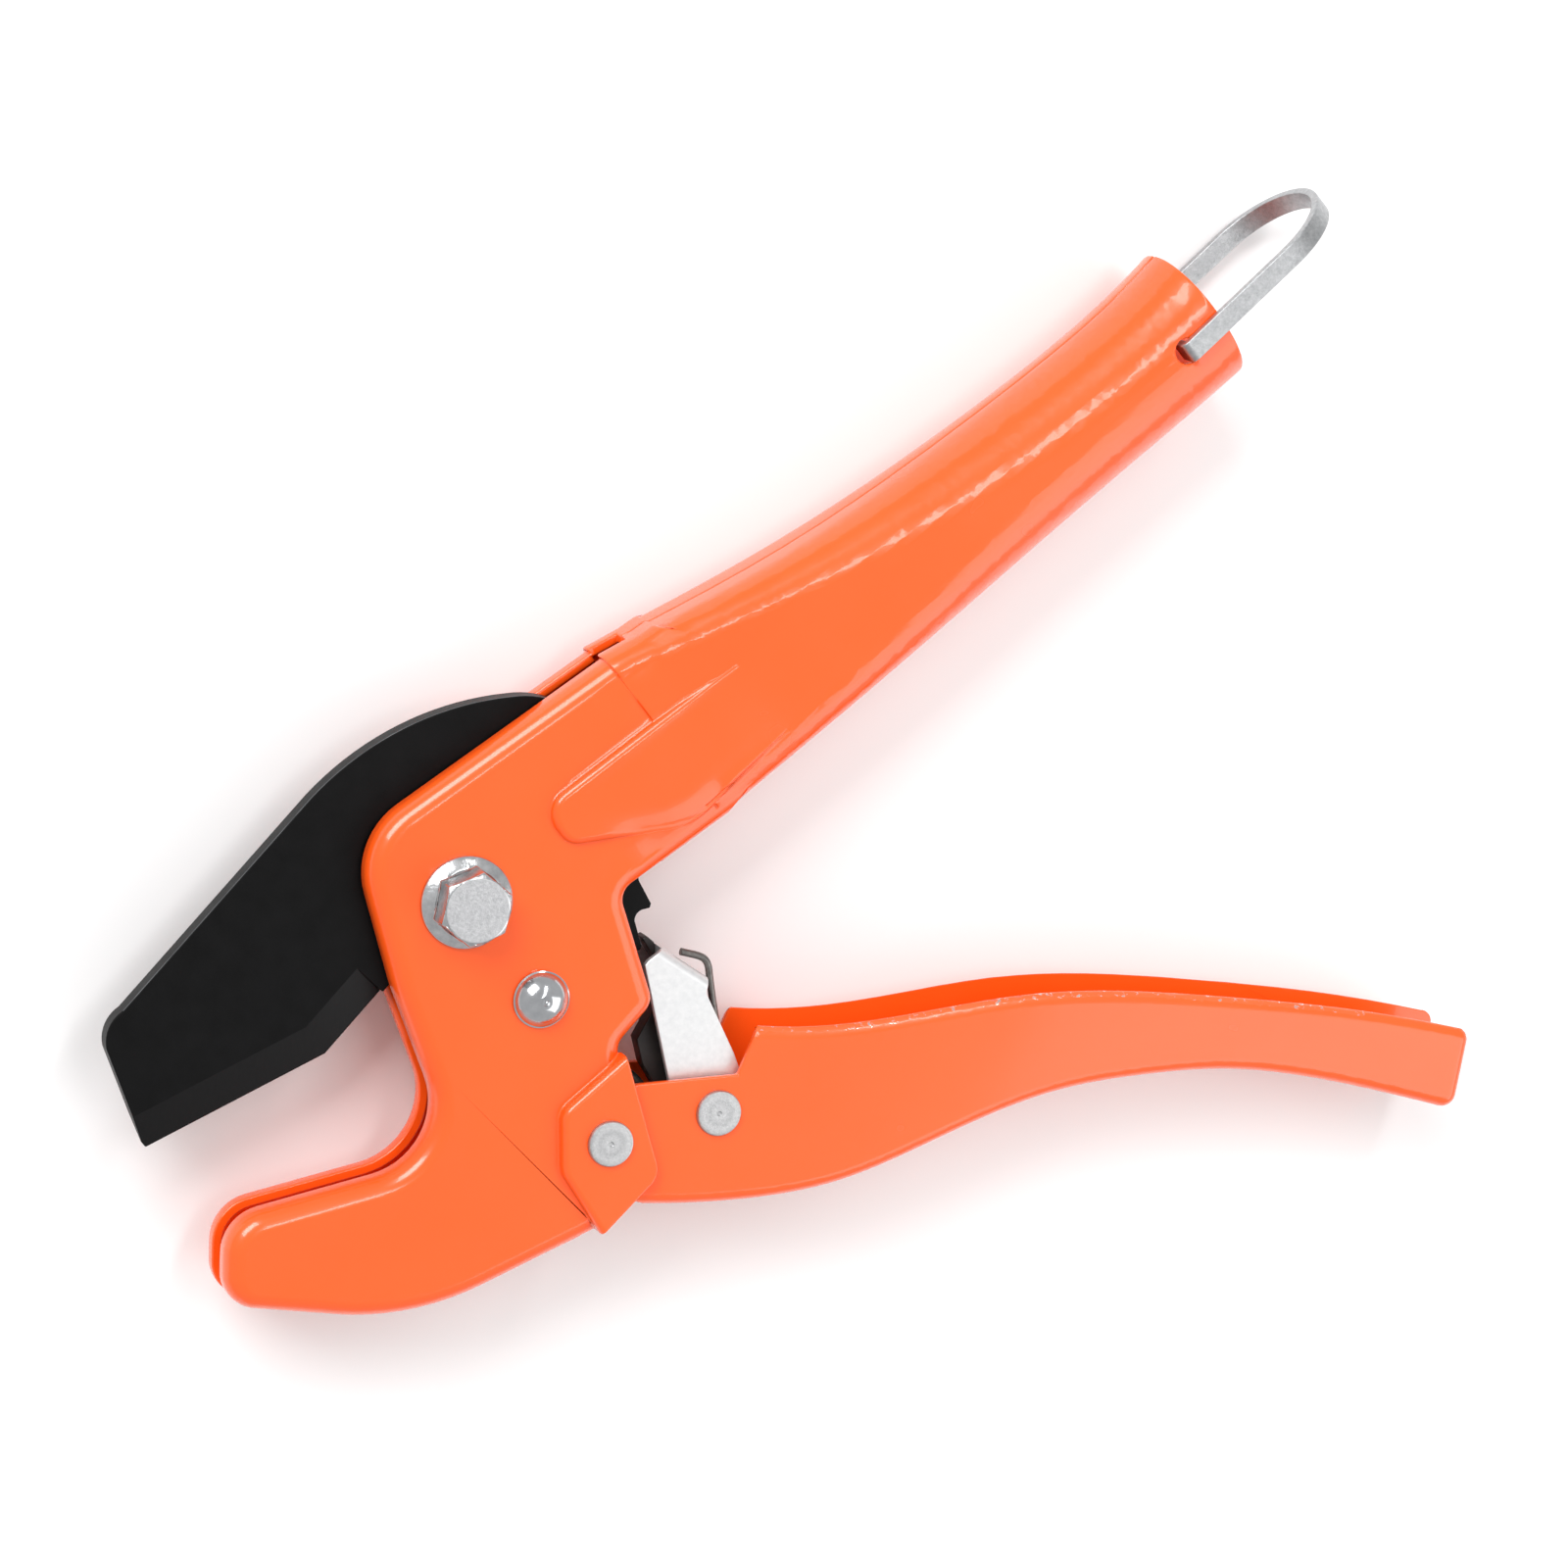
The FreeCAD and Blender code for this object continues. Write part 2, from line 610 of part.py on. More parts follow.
def handle_spring():
    """Return spring: three close turns about the handle pivot, one leg on the stop rivet's sleeve and one
    in the channel of the moving handle."""
    pitch = 1.7
    low = -3.7
    levels = [low + pitch * k for k in range(3)]
    turns = [Part.makeTorus(SPRING_MEAN, SPRING_WIRE, raised(*HANDLE_PIVOT, level)) for level in levels]
    left = HANDLE_PIVOT[0] - SPRING_MEAN
    body_leg = wire_path([raised(left, HANDLE_PIVOT[1], low), raised(left - 0.2, -28, low),
                          raised(STOP[0] - 4.1, STOP[1] - 1, low)], SPRING_WIRE)
    bottom = HANDLE_PIVOT[1] - SPRING_MEAN + 2.4
    high = low + 2 * pitch
    start = polar(HANDLE_PIVOT, SPRING_MEAN, -50)
    handle_leg = wire_path([raised(start.x, start.y, high), raised(33.0, bottom - 0.7, high),
                            raised(41.0, bottom - 0.9, high)], SPRING_WIRE)
    return one_solid(turns[0].fuse(turns[1:] + [body_leg, handle_leg]))


def pawl_spring():
    """Spring that holds the pawl to the teeth: two turns on the pawl rivet and a leg hooked over the
    bracket's fold."""
    low = PAWL_HALF + 0.05 + PAWL_WIRE + 0.02
    pitch = 1.1
    turns = [Part.makeTorus(PAWL_COIL, PAWL_WIRE, raised(*PAWL_PIVOT, low + pitch * k)) for k in range(2)]
    start = polar(PAWL_PIVOT, PAWL_COIL, 10)
    hook = wire_path([raised(start.x, start.y, low), raised(40.15, -16.6, low), raised(40.0, -14.6, low),
                      raised(39.2, -13.3, low), raised(38.2, -12.6, low), raised(35.3, -11.6, low)],
                     PAWL_WIRE)
    base = polar(PAWL_PIVOT, PAWL_COIL, -120)
    high = low + pitch
    tail = rod(raised(base.x, base.y, high), raised(base.x + 6.2, base.y - 5.4, high), PAWL_WIRE)
    return one_solid(turns[0].fuse([turns[1], hook, tail]))


# --- the hanging bail ---------------------------------------------------------------------------
BAIL_TILT = 3.7             # degrees, how far it is swung from the tube's line
BAIL_WIDTH = 3.3
BAIL_SHEET = 1.3
BAIL_INNER = 11.3           # half of the room between its legs
BAIL_LEG = 21.6             # axis to the start of the round end


def hang_bail():
    outer = BAIL_INNER + BAIL_SHEET
    tab_end = 8.5
    half = BAIL_SHEET / 2

    def arch(radius):
        return Part.Arc(V(BAIL_LEG, 0, radius), V(BAIL_LEG + radius, 0, 0), V(BAIL_LEG, 0, -radius)).toShape()

    def run(*points):
        return [Part.makeLine(V(a[0], 0, a[1]), V(b[0], 0, b[1])) for a, b in zip(points, points[1:])]

    edges = [arch(outer), arch(BAIL_INNER)]
    edges += run((BAIL_LEG, outer), (-half, outer), (-half, tab_end), (half, tab_end),
                 (half, BAIL_INNER), (BAIL_LEG, BAIL_INNER))
    edges += run((BAIL_LEG, -outer), (-half, -outer), (-half, -tab_end), (half, -tab_end),
                 (half, -BAIL_INNER), (BAIL_LEG, -BAIL_INNER))
    strip = Part.Face(Part.Wire(Part.__sortEdges__(edges))).extrude(V(0, BAIL_WIDTH, 0))
    strip.translate(V(0, -BAIL_WIDTH / 2, 0))

    def bend(box):
        across = box.YLength > BAIL_WIDTH - 0.1 and box.XLength < 0.01
        return across and abs(box.Center.x + half) < 0.01 and abs(box.Center.z) > outer - 0.1

    strip = round_edges(strip, BAIL_SHEET - 0.1, bend)
    strip.rotate(V(0, 0, 0), V(0, 0, 1), TUBE_ANGLE + BAIL_TILT)
    strip.translate(along_tube(*BAIL_AT))
    return one_solid(strip)


# --- all the pieces -----------------------------------------------------------------------------
def pair_of_rings(centre, outer, inner, low, high):
    """The same ring on both sides of the middle plane, as two solids."""
    return Part.makeCompound([ring(centre, outer, inner, low, high), ring(centre, outer, inner, -high, -low)])


def build():
    inner_half = HEAD_HALF - SHEET
    boss_half = BOSS_HALF - SHEET
    room = 0.05
    return {
        "body_shell": body_shell(),
        "blade_bolt": blade_bolt(),
        "blade_nut": blade_nut(),
        "nut_insert": nut_insert(),
        "blade_bush": ring((0, 0), BUSH_RADIUS, BOLT_RADIUS + 0.03, -inner_half + 0.02, inner_half - 0.02),
        "blade_spacers": pair_of_rings((0, 0), 8.0, BUSH_RADIUS + 0.03, BLADE_HALF + room, inner_half - 0.04),
        "stop_rivet": stop_rivet(),
        "stop_sleeve": ring(STOP, 3.0, STOP_SHANK + 0.03, -inner_half + 0.02, inner_half - 0.02),
        "handle_rivet": flat_rivet(HANDLE_PIVOT, BOSS_HALF + 0.02),
        "handle_bush": ring(HANDLE_PIVOT, HANDLE_BUSH, SHANK_RADIUS + 0.03,
                            -boss_half + 0.02, boss_half - 0.02),
        "handle_spring": handle_spring(),
        "blade": blade(),
        "moving_handle": moving_handle(),
        "pawl_rivet": flat_rivet(PAWL_PIVOT, HANDLE_HALF + 0.02),
        "pawl_washers": pair_of_rings(PAWL_PIVOT, 5.0, SHANK_RADIUS + 0.03, BRACKET_HALF + room,
                                      HANDLE_HALF - HANDLE_SHEET - 0.02),
        "pawl_plate": pawl_plate(),
        "pawl_bracket": pawl_bracket(),
        "pawl_spacer": ring(PAWL_PIVOT, 4.5, SHANK_RADIUS + 0.06, -BRACKET_HALF + BRACKET_SHEET + 0.02,
                            -PAWL_HALF - 0.02),
        "pawl_spring": pawl_spring(),
        "hang_bail": hang_bail(),
    }


os.makedirs("parts", exist_ok=True)
for name, shape in build().items():
    shape.exportStep(f"parts/{name}.step")
    box = shape.BoundBox
    low = [round(v, 1) for v in (box.XMin, box.YMin, box.ZMin)]
    high = [round(v, 1) for v in (box.XMax, box.YMax, box.ZMax)]
    facts = f"solids {len(shape.Solids)} valid {shape.isValid()} volume {shape.Volume:9.1f}"
    print(f"{name:15s}", facts, low, high)
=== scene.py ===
"""Looks of a ratcheting cutter for plastic pipe, in metres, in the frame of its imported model.

+Z is the tool's thickness, and the blade's pivot is the Z axis. The tool rests on z = 0.
"""
import bmesh
import bpy
import math
from mathutils import Matrix, Vector
from mathutils.bvhtree import BVHTree


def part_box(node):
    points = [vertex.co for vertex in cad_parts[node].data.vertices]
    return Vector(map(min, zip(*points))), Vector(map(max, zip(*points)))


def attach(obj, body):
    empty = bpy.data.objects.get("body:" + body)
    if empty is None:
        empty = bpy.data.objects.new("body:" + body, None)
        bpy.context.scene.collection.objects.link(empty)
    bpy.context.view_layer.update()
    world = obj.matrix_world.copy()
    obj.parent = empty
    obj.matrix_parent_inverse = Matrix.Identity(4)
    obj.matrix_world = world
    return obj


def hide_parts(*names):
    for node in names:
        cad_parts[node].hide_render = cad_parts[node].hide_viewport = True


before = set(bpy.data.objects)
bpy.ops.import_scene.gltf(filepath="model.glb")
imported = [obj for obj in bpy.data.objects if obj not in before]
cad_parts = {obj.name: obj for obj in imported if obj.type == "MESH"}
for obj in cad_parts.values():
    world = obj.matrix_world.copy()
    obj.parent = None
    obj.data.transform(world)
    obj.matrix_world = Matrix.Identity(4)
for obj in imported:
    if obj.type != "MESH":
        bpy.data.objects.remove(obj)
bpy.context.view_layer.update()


# --- camera, floor and light ---------------------------------------------------------------------
# A camera over the near side of the tool, a pale floor that the tool rests on, and a soft studio.
eye = Vector((-0.1970, 0.1598, 0.6885))
right = Vector((0.93786, 0.0, 0.34701))
upward = Vector((0.06940, 0.97980, -0.18757))
camera_data = bpy.data.cameras.new("camera")
camera_data.lens = 110.25
camera_data.sensor_width = 36.0
camera_data.clip_start = 0.01
camera = bpy.data.objects.new("camera", camera_data)
turn = Matrix((right, upward, right.cross(upward))).transposed().to_4x4()
camera.matrix_world = Matrix.Translation(eye) @ turn
bpy.context.scene.collection.objects.link(camera)
bpy.context.scene.camera = camera
bpy.context.scene.view_settings.view_transform = "Standard"


def linear(sheet):
    """Linear colour of an sRGB hex value such as "#FF8040"."""
    values = [int(sheet[i:i + 2], 16) / 255 for i in (1, 3, 5)]
    return [v / 12.92 if v <= 0.04045 else ((v + 0.055) / 1.055) ** 2.4 for v in values] + [1.0]


def add_node(tree, kind, inputs=None, **settings):
    """Node with its settings, whose inputs are values or other nodes' outputs."""
    made = tree.nodes.new(kind)
    for key, value in settings.items():
        setattr(made, key, value)
    for key, value in (inputs or {}).items():
        if isinstance(value, bpy.types.NodeSocket):
            tree.links.new(value, made.inputs[key])
        else:
            made.inputs[key].default_value = value
    return made


def start_material(name, metallic, roughness, colour):
    """Material with its tree, its shader and its object coordinates."""
    made = bpy.data.materials.new(name)
    made.use_nodes = True
    tree = made.node_tree
    shader = tree.nodes["Principled BSDF"]
    shader.inputs["Metallic"].default_value = metallic
    shader.inputs["Roughness"].default_value = roughness
    shader.inputs["Base Color"].default_value = linear(colour)
    place = add_node(tree, "ShaderNodeTexCoord").outputs["Object"]
    return made, tree, shader, place


def tint(tree, shader, factor, deep, light):
    """Base colour that goes from a deep tone to a light one with a factor."""
    tone = add_node(tree, "ShaderNodeMix", {0: factor, 6: linear(deep), 7: linear(light)}, data_type="RGBA")
    tree.links.new(tone.outputs[2], shader.inputs["Base Color"])


def emboss(tree, shader, height, strength, distance):
    """Fine relief on a surface, from a height and its depth in metres."""
    relief = add_node(tree, "ShaderNodeBump", {"Height": height, "Strength": strength, "Distance": distance})
    tree.links.new(relief.outputs[0], shader.inputs["Normal"])


def millimetres(size):
    """Scale of a noise or a wave whose features are that many millimetres across."""
    return 1000.0 / size


paper, tree, shader, place = start_material("pale_paper", 0.0, 0.9, "#F4F4F4")
shader.inputs["Specular IOR Level"].default_value = 0.1
fibre = add_node(tree, "ShaderNodeTexNoise", {"Vector": place, "Scale": millimetres(60), "Detail": 2.0})
tint(tree, shader, fibre.outputs[0], "#F2F2F2", "#F6F6F6")
shape = bmesh.new()
bmesh.ops.create_grid(shape, x_segments=1, y_segments=1, size=2.5)
bmesh.ops.translate(shape, verts=shape.verts, vec=(0.05, 0.0, -0.0006))
floor_mesh = bpy.data.meshes.new("floor")
shape.to_mesh(floor_mesh)
shape.free()
floor = bpy.data.objects.new("floor", floor_mesh)
floor_mesh.materials.append(paper)
bpy.context.scene.collection.objects.link(floor)

world = bpy.data.worlds.new("studio")
world.use_nodes = True
world.node_tree.nodes["Background"].inputs["Color"].default_value = linear("#FFFFFF")
world.node_tree.nodes["Background"].inputs["Strength"].default_value = 0.62
bpy.context.scene.world = world


def soft_light(name, at, aim, size, power):
    data = bpy.data.lights.new(name, "AREA")
    data.shape = "RECTANGLE"
    data.size = size[0]
    data.size_y = size[1]
    data.energy = power
    lamp = bpy.data.objects.new(name, data)
    lamp.location = at
    lamp.rotation_euler = (Vector(aim) - Vector(at)).to_track_quat("-Z", "Y").to_euler()
    bpy.context.scene.collection.objects.link(lamp)


middle = (0.05, 0.01, 0.013)
soft_light("key", (-0.55, 0.75, 0.75), middle, (0.7, 0.5), 10.0)
soft_light("fill", (0.75, -0.35, 0.65), middle, (0.8, 0.8), 3.5)
soft_light("strip", (0.25, 0.45, 0.95), middle, (0.12, 0.9), 3.0)


# --- body shell ----------------------------------------------------------------------------------
# One pressed steel sheet: two cheeks with turned-in edges, the hook, and the tube handle, whose seam
# runs along its back. Sprayed with a glossy orange enamel, whose thick film rounds every edge.
def join_triangles(node):
    """Joined copy of a CAD node's mesh, with its flat areas made whole."""
    shape = bmesh.new()
    shape.from_mesh(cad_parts[node].data)
    bmesh.ops.remove_doubles(shape, verts=shape.verts, dist=2e-6)
    bmesh.ops.dissolve_limit(shape, angle_limit=math.radians(0.3), use_dissolve_boundaries=False,
                             verts=shape.verts, edges=shape.edges)
    return shape


def soften(shape, width, sharper_than):
    """Rounds the edges that turn by more than an angle, as a film of paint or a tumbling drum does."""
    before = BVHTree.FromBMesh(shape)
    limit = math.radians(sharper_than)
    furthest = width * 0.6
    wanted = [e for e in shape.edges if len(e.link_faces) == 2 and e.calc_face_angle() > limit]
    bmesh.ops.bevel(shape, geom=wanted, offset=width, offset_type="OFFSET", segments=2, profile=0.5,
                    affect="EDGES", clamp_overlap=False, material=-1)
    for vertex in shape.verts:
        nearest, _, _, distance = before.find_nearest(vertex.co)
        if distance > furthest:
            vertex.co = nearest


def hang_up(shape, name, body, materials, crease=34):
    """Piece from a finished shape, smooth but for its creases, riding on its body."""
    mesh = bpy.data.meshes.new(name)
    for face in shape.faces:
        face.smooth = True
    shape.to_mesh(mesh)
    shape.free()
    mesh.set_sharp_from_angle(angle=math.radians(crease))
    for material in materials:
        mesh.materials.append(material)
    piece = bpy.data.objects.new(name, mesh)
    bpy.context.scene.collection.objects.link(piece)
    even = piece.modifiers.new("even_shading", "WEIGHTED_NORMAL")
    even.weight = 100
    even.keep_sharp = True
    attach(piece, body)
    return piece


def turned(outline, at, steps):
    """Solid of revolution about Z, from (radius, height) pairs that start and end on the axis."""
    shape = bmesh.new()
    points = [shape.verts.new(at + Vector((reach, 0.0, height))) for reach, height in outline]
    for a, b in zip(points, points[1:]):
        shape.edges.new((a, b))
    bmesh.ops.spin(shape, geom=shape.verts[:] + shape.edges[:], cent=at, axis=(0, 0, 1), angle=math.tau,
                   steps=steps, use_merge=True)
    bmesh.ops.remove_doubles(shape, verts=shape.verts, dist=1e-7)
    bmesh.ops.recalc_face_normals(shape, faces=shape.faces)
    return shape


def enamel(name, deep, light):
    """Sprayed enamel: a wet gloss with a faint orange-peel ripple, and a tone that drifts a little."""
    made, tree, shader, place = start_material(name, 0.0, 0.24, light)
    drift = add_node(tree, "ShaderNodeTexNoise", {"Vector": place, "Scale": millimetres(26), "Detail": 3.0})
    tint(tree, shader, drift.outputs[0], deep, light)
    shader.inputs["Coat Weight"].default_value = 0.5
    shader.inputs["Coat Roughness"].default_value = 0.07
    film = add_node(tree, "ShaderNodeTexNoise", {"Vector": place, "Scale": millimetres(9), "Detail": 2.0})
    gloss = add_node(tree, "ShaderNodeMapRange", {"Value": film.outputs[0], "To Min": 0.2, "To Max": 0.3})
    tree.links.new(gloss.outputs[0], shader.inputs["Roughness"])
    peel = add_node(tree, "ShaderNodeTexNoise", {"Vector": place, "Scale": millimetres(1.6), "Detail": 2.0})
    emboss(tree, shader, peel.outputs[0], 0.12, 0.0001)
    return made


body_enamel = enamel("enamelled_sheet_steel", "#FF5810", "#FF5E18")
tube_angle = math.radians(36.5)
tube_along = Vector((math.cos(tube_angle), math.sin(tube_angle), 0.0))
tube_across = Vector((-math.sin(tube_angle), math.cos(tube_angle), 0.0))
tube_start = Vector((0.045, 0.011, 0.0))
mid_plane = 0.013
outer_skin = 0.0066
strip = 0.0012
enamel_film = 0.0003
folded_edge = 38


def in_tube(point):
    """Distance of a point along the tube's underside, and up from it."""
    offset = point - tube_start
    return offset.dot(tube_along), offset.dot(tube_across)


def in_pressing(point):
    """Whether a point is on the outside of a cheek, where the tube swells out of it."""
    along, up = in_tube(point)
    lowest = 0.0046 if along < -0.001 else 0.0066
    highest = 0.0285 if -0.009 < along < 0.002 else 0.0246
    beside_tube = -0.021 < along < 0.024 and lowest < up < highest
    crease = along < 0.006 and 0.0180 < up < 0.0232
    outside = abs(point.z - mid_plane) > outer_skin
    return outside and beside_tube and not crease


def cut_in_strips(shape, across, first, last, step):
    """Cuts the flats of a shape into strips, so that they have points to bend by."""
    for face in shape.faces:
        face.tag = abs(face.normal.z) > 0.95 or in_pressing(face.calc_center_median())
    geom = [face for face in shape.faces if face.tag]
    geom += [edge for edge in shape.edges if any(face.tag for face in edge.link_faces)]
    geom += [vertex for vertex in shape.verts if any(face.tag for face in vertex.link_faces)]
    place = first
    while place < last:
        cut = bmesh.ops.bisect_plane(shape, geom=geom, dist=1e-7, plane_no=across,
                                     plane_co=tube_start + across * place)
        geom = cut["geom"]
        place += step


def ramp(value, first, last):
    """0 at the first value, 1 at the last, and in proportion between them."""
    return min(1.0, max(0.0, (value - first) / (last - first)))


def softness(point):
    """How far the pressed step is evened out at a point: 0 leaves it crisp, 1 blends it fully."""
    along, up = in_tube(point)
    lowest = 0.0035 if along < -0.001 else 0.0062
    lower = ramp(along, -0.021, -0.016) * ramp(along, 0.026, 0.021) * ramp(up, lowest, lowest + 0.0015)
    lower *= ramp(up, 0.0195, 0.0180)
    seam = ramp(along, -0.009, -0.006) * ramp(along, 0.003, 0.000)
    seam *= ramp(up, 0.0250, 0.0262) * ramp(up, 0.0300, 0.0285)
    return max(lower, seam)


def blend_pressing(shape):
    """Lets the pressed step where the tube swells out of each cheek run out softly, as sheet does."""
    before = BVHTree.FromBMesh(shape)
    rings = ((6, 0.0010), (10, 0.0021), (14, 0.0032))
    clear_of_shell = 0.02
    inner_skin = 0.0055
    heights = {}
    for vertex in shape.verts:
        weight = softness(vertex.co)
        if weight == 0.0 or abs(vertex.co.z - mid_plane) < outer_skin:
            continue
        side = 1.0 if vertex.co.z > mid_plane else -1.0
        found = [vertex.co.z]
        for count, reach in rings:
            for k in range(count):
                turn = math.tau * k / count
                start = Vector((vertex.co.x + reach * math.cos(turn), vertex.co.y + reach * math.sin(turn),
                                mid_plane + clear_of_shell * side))
                hit = before.ray_cast(start, Vector((0.0, 0.0, -side)))[0]
                if hit is not None and (hit.z - mid_plane) * side > inner_skin:
                    found.append(hit.z)
        heights[vertex] = vertex.co.z + weight * (sum(found) / len(found) - vertex.co.z)
    for vertex, height in heights.items():
        vertex.co.z = height


shape = join_triangles("body_shell")
soften(shape, enamel_film, folded_edge)
cut_in_strips(shape, tube_along, -0.020, 0.030, strip)
cut_in_strips(shape, tube_across, 0.003, 0.029, strip)
blend_pressing(shape)
shell = hang_up(shape, "painted_body_shell", "body", [body_enamel])
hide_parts("body_shell")


# --- moving handle -------------------------------------------------------------------------------
# A folded steel channel, enamelled like the body. Its open edges rub on gloves and benches, so the
# enamel has small chips there that show bright steel. The upward-facing edges also carry a lighter
# orange than the rest, which is a painted highlight.
handle_enamel = enamel("enamelled_channel_steel", "#FF5810", "#FF5E18")
# Painted highlight: a lighter orange on the upward-facing edges, with real bare-steel chips from the noise
# mixed in.
painted_highlight_chipped = enamel("chipped_and_highlit_enamel_edge", "#FF5810", "#FF6C38")
tree = painted_highlight_chipped.node_tree
shader = tree.nodes["Principled BSDF"]
place = add_node(tree, "ShaderNodeTexCoord").outputs["Object"]
flakes = add_node(tree, "ShaderNodeTexNoise", {"Vector": place, "Scale": millimetres(1.3), "Detail": 4.0,
                                               "Roughness": 0.7})
bare = add_node(tree, "ShaderNodeMapRange", {"Value": flakes.outputs[0], "From Min": 0.58, "From Max": 0.63})
tone = shader.inputs["Base Color"].links[0].from_socket
worn = add_node(tree, "ShaderNodeMix", {0: bare.outputs[0], 6: tone, 7: linear("#D9CFC8")}, data_type="RGBA")
tree.links.new(worn.outputs[2], shader.inputs["Base Color"])
tree.links.new(bare.outputs[0], shader.inputs["Metallic"])

shape = join_triangles("moving_handle")
soften(shape, enamel_film, folded_edge)
# Upward-facing edge faces above this height get the painted highlight and the chips.
highlit_and_rubbed_above = -0.0305
for face in shape.faces:
    near_top = face.calc_center_median().y > highlit_and_rubbed_above and face.normal.y > 0.5
    face.material_index = 1 if near_top else 0
handle = hang_up(shape, "painted_moving_handle", "handle", [handle_enamel, painted_highlight_chipped])
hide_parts("moving_handle")


# --- blade ---------------------------------------------------------------------------------------
# Hardened tool steel with a baked black coating. The coating is even on the flats, thinner on the
# ground bevels, and rubbed to dull steel along its back.
coating, tree, shader, place = start_material("black_coated_steel", 0.0, 0.42, "#111112")
grain = add_node(tree, "ShaderNodeTexNoise", {"Vector": place, "Scale": millimetres(3.5), "Detail": 5.0})
tint(tree, shader, grain.outputs[0], "#050505", "#0D0D0E")
sheen = add_node(tree, "ShaderNodeMapRange", {"Value": grain.outputs[0], "To Min": 0.32, "To Max": 0.5})
tree.links.new(sheen.outputs[0], shader.inputs["Roughness"])
shader.inputs["Specular IOR Level"].default_value = 0.12
pits = add_node(tree, "ShaderNodeTexNoise", {"Vector": place, "Scale": millimetres(0.6), "Detail": 3.0})
emboss(tree, shader, pits.outputs[0], 0.2, 0.0001)

ground, tree, shader, place = start_material("ground_bevel", 0.0, 0.36, "#1C1C1D")
along = add_node(tree, "ShaderNodeMapping", {"Vector": place, "Rotation": (0.0, 0.0, math.radians(-23)),
                                             "Scale": (1.0, 0.06, 1.0)})
shader.inputs["Specular IOR Level"].default_value = 0.16
lines = add_node(tree, "ShaderNodeTexNoise", {"Vector": along.outputs[0], "Scale": millimetres(0.35),
                                              "Detail": 3.0})
tint(tree, shader, lines.outputs[0], "#070708", "#0F0F10")
emboss(tree, shader, lines.outputs[0], 0.25, 0.00005)

rub, tree, shader, place = start_material("rubbed_steel_edge", 1.0, 0.35, "#77787A")
wear = add_node(tree, "ShaderNodeTexNoise", {"Vector": place, "Scale": millimetres(4.0), "Detail": 4.0})
tint(tree, shader, wear.outputs[0], "#1C1C1D", "#8C8D90")

shape = join_triangles("blade")
worn_radius = 0.00018
smallest_bevel = 2e-6
soften(shape, worn_radius, 50)
for face in shape.faces:
    slanted = 0.9 < abs(face.normal.z) < 0.99
    on_edge_side = face.calc_area() > smallest_bevel
    rounded = 0.25 < abs(face.normal.z) < 0.9 and face.calc_center_median().y > 0.0
    face.material_index = 1 if slanted and on_edge_side else 2 if rounded else 0
blade = hang_up(shape, "coated_blade", "blade", [coating, ground, rub], crease=12)
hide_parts("blade")


# --- blade bolt and nut --------------------------------------------------------------------------
# Cold-forged flange bolt and collared nut, plated with bright zinc. The forged top of the head keeps
# a matte grain, and the flange has a blotchy shine where the plating puddled.
plating, tree, shader, place = start_material("bright_zinc_plate", 1.0, 0.2, "#C9CBCE")
puddles = add_node(tree, "ShaderNodeTexNoise", {"Vector": place, "Scale": millimetres(2.4), "Detail": 5.0,
                                                "Roughness": 0.65})
tint(tree, shader, puddles.outputs[0], "#8E9194", "#E8E9EA")
shine = add_node(tree, "ShaderNodeMapRange", {"Value": puddles.outputs[0], "To Min": 0.08, "To Max": 0.34})
tree.links.new(shine.outputs[0], shader.inputs["Roughness"])
emboss(tree, shader, puddles.outputs[0], 0.35, 0.0002)

forged, tree, shader, place = start_material("forged_zinc_face", 1.0, 0.45, "#CFD0D2")
sand = add_node(tree, "ShaderNodeTexNoise", {"Vector": place, "Scale": millimetres(0.5), "Detail": 6.0,
                                             "Roughness": 0.7})
tint(tree, shader, sand.outputs[0], "#8C8D90", "#E2E2E3")
emboss(tree, shader, sand.outputs[0], 0.6, 0.00012)

forged_depth = 0.0004
for node, name in (("blade_bolt", "plated_blade_bolt"), ("blade_nut", "plated_blade_nut")):
    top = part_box(node)[1].z
    shape = join_triangles(node)
    soften(shape, worn_radius, 20)
    for face in shape.faces:
        on_top = face.normal.z > 0.97 and face.calc_center_median().z > top - forged_depth
        face.material_index = 1 if on_top and node == "blade_bolt" else 0
    piece = hang_up(shape, name, "body", [plating, forged], crease=40)
    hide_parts(node)


# --- dome rivet ----------------------------------------------------------------------------------
# A turned and polished rivet with a domed head, which limits the blade's swing. The lathe leaves a
# small apex and a line round the head, and the polish mirrors the room.
polished, tree, shader, place = start_material("polished_rivet_steel", 1.0, 0.1, "#DFE0E2")
smear = add_node(tree, "ShaderNodeTexNoise", {"Vector": place, "Scale": millimetres(2.0), "Detail": 4.0})
shine = add_node(tree, "ShaderNodeMapRange", {"Value": smear.outputs[0], "To Min": 0.06, "To Max": 0.22})
tree.links.new(shine.outputs[0], shader.inputs["Roughness"])
tint(tree, shader, smear.outputs[0], "#A9ABAF", "#DADCDE")

low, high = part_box("stop_rivet")
centre = (low + high) / 2
stop_at = Vector((centre.x, centre.y, 0.0))
seat = 0.02002
outline = [(0.0, high.z), (0.00035, high.z - 0.00012), (0.0005, high.z - 0.0003)]
dome_radius = 0.00473
dome_centre = high.z - 0.00018 - dome_radius
for step in range(1, 10):
    reach = 0.0005 + 0.00365 * step / 9
    outline.append((reach, dome_centre + math.sqrt(dome_radius ** 2 - reach ** 2)))
edge_height = outline[-1][1]
outline += [(0.00418, edge_height - 0.00018), (0.0044, edge_height - 0.0003), (0.0044, seat + 0.0002),
            (0.0042, seat), (0.002, seat), (0.002, 0.006), (0.0036, 0.00598), (0.0036, 0.0053),
            (0.0029, 0.0045), (0.0, 0.0045)]
shape = turned(outline, stop_at, 64)
dome = hang_up(shape, "polished_dome_rivet", "body", [polished], crease=28)
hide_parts("stop_rivet")


